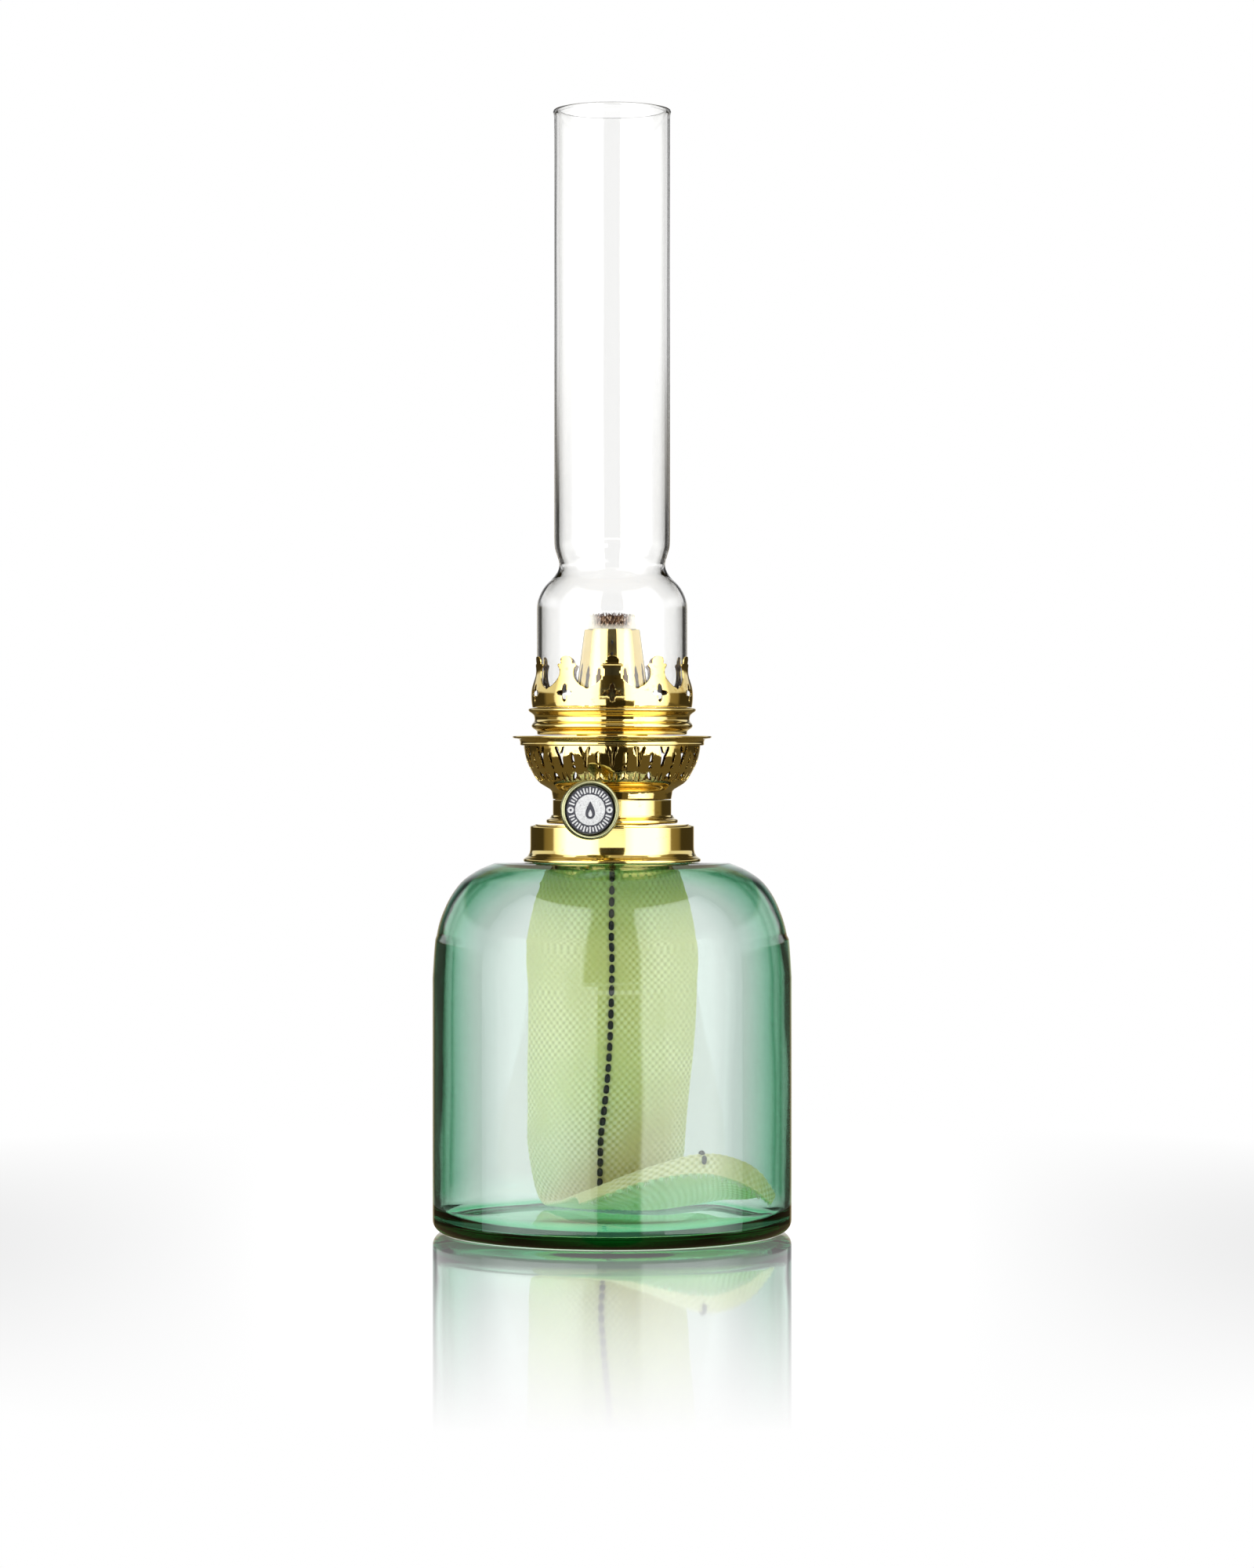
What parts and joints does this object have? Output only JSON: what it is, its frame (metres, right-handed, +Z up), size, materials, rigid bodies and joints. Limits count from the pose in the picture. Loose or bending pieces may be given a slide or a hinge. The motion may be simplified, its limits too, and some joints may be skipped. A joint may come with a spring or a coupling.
{
  "type": "oil lamp",
  "caption": "Free-standing oil lamp: glass font with its wick showing, pierced brass round-wick burner with a side knob, pronged gallery and tall waisted glass chimney.",
  "frame": {"origin": "centre of the font's flat base, on the surface it stands on", "axes": "+Z up along the axis of the font, burner and chimney; -Y towards the wick knob, which is the front"},
  "size_m": [0.1272, 0.1272, 0.397],
  "materials": {
    "brass": "polished, lacquered",
    "darkened_brass": "polished, toned darker in the piercings",
    "plated_steel": "bright plated",
    "green_glass": "clear, pale green",
    "clear_glass": "clear, colourless",
    "plaster": "matt set plaster",
    "cotton": "woven, undyed, with a dark tracer stitch",
    "printed_tin": "satin print on sheet metal"
  },
  "bodies": {
    "font": {"font_glass": "green_glass", "collar_cement": "plaster", "collar_band": "brass"},
    "burner": {"burner_thread_ring": "brass", "drum_base_plate": "brass", "mechanism_drum": "brass", "spindle_bush": "brass", "wheel_box": "darkened_brass", "air_basket": "darkened_brass", "shade_ring": "brass", "outer_wick_tube": "brass", "inner_air_tube": "brass", "wick_lower": "cotton", "wick_tail": "cotton"},
    "wick": {"wick_upper": "cotton"},
    "knob": {"wick_spindle": "plated_steel", "sprocket_wheel_front": "plated_steel", "sprocket_wheel_rear": "plated_steel", "knob_dish": "brass", "knob_face": "printed_tin"},
    "gallery": {"gallery_ring": "brass", "chimney_seat": "darkened_brass", "gallery_crown": "brass"},
    "chimney": {"glass_chimney": "clear_glass"}
  },
  "joints": [
    {"name": "burner_turn", "type": "hinge", "parent": "font", "child": "burner", "pos_m": [0, 0, 0.14], "axis": [0, 0, 1], "range_deg": [0, 900]},
    {"name": "knob_turn", "type": "hinge", "parent": "burner", "child": "knob", "pos_m": [-0.01501, -0.00346, 0.1496], "axis": [0.225, -0.9744, 0], "range_deg": [-120, 30]},
    {"name": "wick_raise", "type": "slide", "parent": "burner", "child": "wick", "axis": [0, 0, 1], "range_m": [-0.008, 0.002]},
    {"name": "gallery_lift", "type": "slide", "parent": "burner", "child": "gallery", "axis": [0, 0, 1], "range_m": [0, 0.045]},
    {"name": "chimney_lift", "type": "slide", "parent": "gallery", "child": "chimney", "axis": [0, 0, 1], "range_m": [0, 0.045]}
  ],
  "couplings": [
    {"joint": "wick_raise", "follows": "knob_turn", "m_per_rad": 0.0038}
  ]
}
